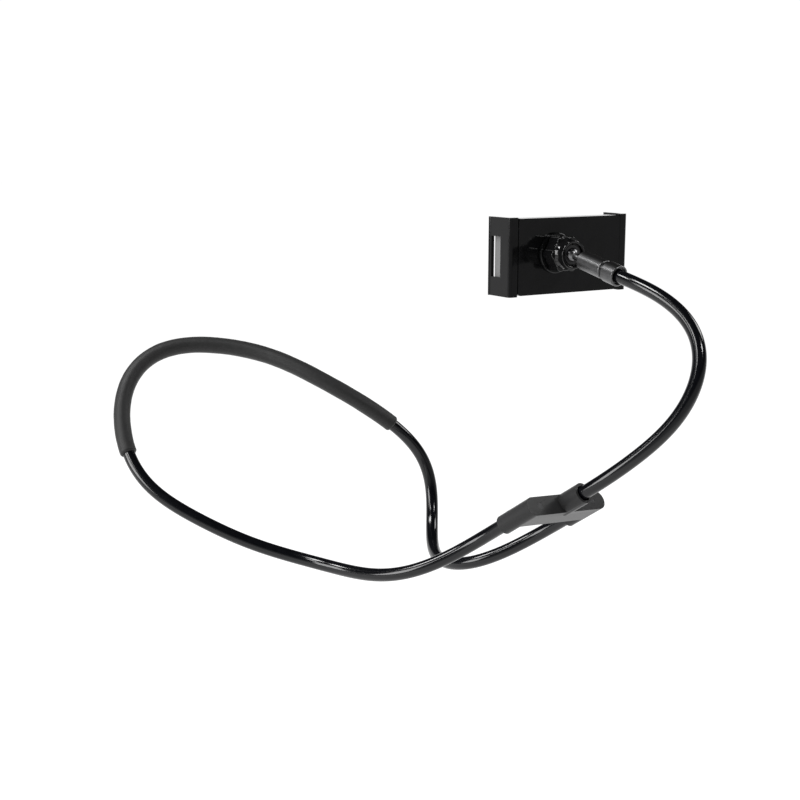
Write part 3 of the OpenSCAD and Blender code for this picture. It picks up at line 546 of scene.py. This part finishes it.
# The arm's skin: the same hose as the neck's. Each piece spans one of the arm's bends and lies
# along the two rods that meet there.
ARM_DEPTH = 24 * MM
SLEEVE_L = 14 * MM
COLLAR_SOCKET_L = 4 * MM
ARM_END_Z = 43.5 * MM
BALL_AT = millimetres(142, -173.5, 73.5)
STUD_TILT = math.radians(12)
ARM_STEP = 0.75 * MM
ARM_WAVE = 70 * MM
stud_dir = Vector((0, -math.cos(STUD_TILT), -math.sin(STUD_TILT)))
arm_start = CONNECTOR_AT + SLEEVE_L * front_dir
arm_end = BALL_AT + ARM_END_Z * stud_dir
arm_points = [
    arm_start,
    millimetres(116, -266, -31),
    millimetres(133, -282, -5),
    millimetres(147, -280, 29),
    millimetres(147, -250, 54),
    arm_end,
]
arm_path = straight(arm_start - ARM_DEPTH * front_dir, front_dir, ARM_DEPTH, ARM_STEP)
arm_marks = []
for arc in arcs_through(arm_points, front_dir, -stud_dir):
    arm_marks.append(len(arm_path) - 1)
    arm_path += stations_along(arc, ARM_STEP)
arm_path += straight(arm_end, -stud_dir, COLLAR_SOCKET_L, ARM_STEP)[1:]
arm_path = eased(arm_path, ARM_STEP, ARM_WAVE, COLLAR_SOCKET_L)
arm_frames = framed(arm_path)
arm_nodes = [["arm_sleeve_1", "arm_sleeve_2"], ["arm_sleeve_3"], ["arm_sleeve_4"], ["arm_sleeve_5"]]
# The skin is cut where the two arcs between one bend and the next meet
arm_cuts = [0, *arm_marks[3:8:2], len(arm_frames) - 1]
for k in range(len(arm_nodes)):
    stretch = arm_frames[arm_cuts[k] : arm_cuts[k + 1] + 1]
    skin = hose(f"arm_skin_{k + 1}", stretch, TUBE_R, TUBE_BORE_R, tube_skin)
    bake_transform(skin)
    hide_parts(*arm_nodes[k])


# The connector: two halves moulded in satin dark grey plastic. The front half carries the
# arm's sleeve and the rear half the loop's two sockets. Two short screws close them.
body_of = {n: b for b, ns in frame["record"]["behaviour"]["bodies"].items() for n in ns}
SAME_PLACE = 0.002 * MM
NEARLY_FLAT = math.radians(0.6)


def softened(node, edge, material, sharp=30, segments=3, stay=None):
    """Copy of a CAD node whose edges are rounded over. stay says which edges keep their corner."""
    edit = bmesh.new()
    edit.from_mesh(nodes[node].data)
    bmesh.ops.remove_doubles(edit, verts=edit.verts, dist=SAME_PLACE)
    bmesh.ops.dissolve_limit(
        edit, angle_limit=NEARLY_FLAT, verts=edit.verts, edges=edit.edges, use_dissolve_boundaries=False
    )
    chosen = [
        e
        for e in edit.edges
        if len(e.link_faces) == 2
        and e.calc_face_angle(0) > math.radians(sharp)
        and not (stay and stay(e))
    ]
    bmesh.ops.bevel(
        edit,
        geom=chosen,
        offset=edge,
        offset_type="OFFSET",
        segments=segments,
        profile=0.5,
        affect="EDGES",
        clamp_overlap=True,
    )
    mesh = bpy.data.meshes.new(node)
    edit.to_mesh(mesh)
    edit.free()
    piece = new_piece(node + "_body", mesh, material, sharp=35)
    even = piece.modifiers.new("even_shading", "WEIGHTED_NORMAL")
    even.keep_sharp = True
    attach(piece, body_of[node])
    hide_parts(node)
    return piece


satin_grey = finish_of(
    "satin_grey_plastic", (0.026, 0.026, 0.0264), (0.034, 0.034, 0.0345),
    roughness=0.3, spread=0.03, grain=0.5 * MM, bump=0.004 * MM, specular=0.12,
)
softened("connector_front", 0.5 * MM, satin_grey)
softened("connector_back", 0.5 * MM, satin_grey)


# The connector's screws: two small blackened steel screws, flush in the front face, and three
# black hexagon-socket grub screws that lock the tubes from below.
black_steel = finish_of(
    "blackened_steel", (0.03, 0.03, 0.032), (0.06, 0.06, 0.06),
    roughness=0.4, spread=0.1, grain=0.5 * MM, bump=0.006 * MM, metallic=1.0,
)
dress(["connector_screws", "grub_screws"], black_steel)


# The ferrule and the collar: turned steel, plated and polished to a dark gunmetal mirror. The
# ferrule is a sleeve on the ball stud, and the collar is glued on the arm's end.
gunmetal = finish_of(
    "polished_gunmetal", (0.1, 0.1, 0.102), (0.13, 0.13, 0.132),
    roughness=0.34, spread=0.01, grain=3 * MM, bump=0.0003 * MM, metallic=1.0,
)
softened("ferrule", 0.25 * MM, gunmetal)
softened("collar", 0.25 * MM, gunmetal)


# The ball stud: one turned and polished steel piece, from the ball to the tail that the collar
# holds. A nylon washer lets it swivel and a zinc-plated spring clip keeps it in.
polished_steel = finish_of(
    "polished_steel", (0.16, 0.16, 0.163), (0.2, 0.2, 0.204),
    roughness=0.3, spread=0.02, grain=2 * MM, bump=0.0004 * MM, metallic=1.0,
)
zinc = finish_of(
    "zinc_plated_steel", (0.32, 0.32, 0.33), (0.5, 0.5, 0.51),
    roughness=0.3, spread=0.1, grain=0.6 * MM, bump=0.004 * MM, metallic=1.0,
)
black_nylon = finish_of(
    "black_nylon", (0.006, 0.006, 0.007), (0.012, 0.012, 0.013),
    roughness=0.3, spread=0.06, grain=0.8 * MM, bump=0.008 * MM,
)
dress(["ball_stud", "pressure_ring"], polished_steel)
dress(["retaining_clip"], zinc)
# The ball seat wears the same black as painted shade: its darkness stands for the shade of a deeper
# hollow inside the nut's cup.
dress(["swivel_washer", "ball_seat"], black_nylon)


# The lock nut: glossy black plastic with six finger lobes. It screws on the socket's thread
# and draws the slotted rim in on the ball.
nut_black = finish_of(
    "hard_black_plastic", (0.003, 0.003, 0.0032), (0.005, 0.005, 0.0053),
    roughness=0.08, spread=0.02, grain=5 * MM, bump=0.002 * MM, specular=0.4,
)
softened("lock_nut", 0.6 * MM, nut_black, segments=4, stay=lambda e: not e.is_convex)


# The clamp's housing: two glossy black shells, screwed together at the corners, with the
# ball joint's socket screwed on the back.
gloss_black = finish_of(
    "glossy_black_plastic", (0.003, 0.003, 0.0032), (0.005, 0.005, 0.0053),
    roughness=0.1, spread=0.03, grain=6 * MM, bump=0.002 * MM, specular=0.2,
)
softened("ball_socket", 0.25 * MM, gloss_black)
softened("back_cover", 0.5 * MM, gloss_black, segments=4)
softened("front_cover", 0.6 * MM, gloss_black, segments=4)
dress(["socket_screws", "cover_screws", "jaw_screws"], zinc)


# The phone pad: a thin sheet of soft black rubber glued on the clamp's front, where the
# phone's back lies against it.
black_rubber = finish_of(
    "soft_black_rubber", (0.012, 0.012, 0.012), (0.02, 0.02, 0.02),
    roughness=0.7, spread=0.1, grain=0.35 * MM, bump=0.03 * MM,
)
softened("phone_pad", 0.35 * MM, black_rubber)


# The jaws: glossy black plastic hooks, each with a window. The left one is screwed in the
# housing and the right one slides out on its tongue. Grey rubber grips line them.
grey_rubber = finish_of(
    "grey_rubber", (0.12, 0.12, 0.12), (0.16, 0.16, 0.16),
    roughness=0.6, spread=0.1, grain=0.4 * MM, bump=0.025 * MM,
)
softened("fixed_jaw", 0.45 * MM, gloss_black)
softened("sliding_jaw", 0.45 * MM, gloss_black)
softened("fixed_jaw_pad", 0.5 * MM, grey_rubber)
softened("sliding_jaw_pad", 0.5 * MM, grey_rubber)


# The slide: two polished steel rods that guide the right jaw, and two tension springs that
# pull it back, hooked on steel pins. All of it is inside the housing.
spring_steel = finish_of(
    "spring_steel", (0.4, 0.4, 0.42), (0.52, 0.52, 0.54),
    roughness=0.25, spread=0.06, grain=0.8 * MM, bump=0.004 * MM, metallic=1.0,
)
dress(["guide_rods", "cover_spring_pins", "jaw_spring_pins"], polished_steel)
dress(["clamp_springs", "spring_hooks"], spring_steel)
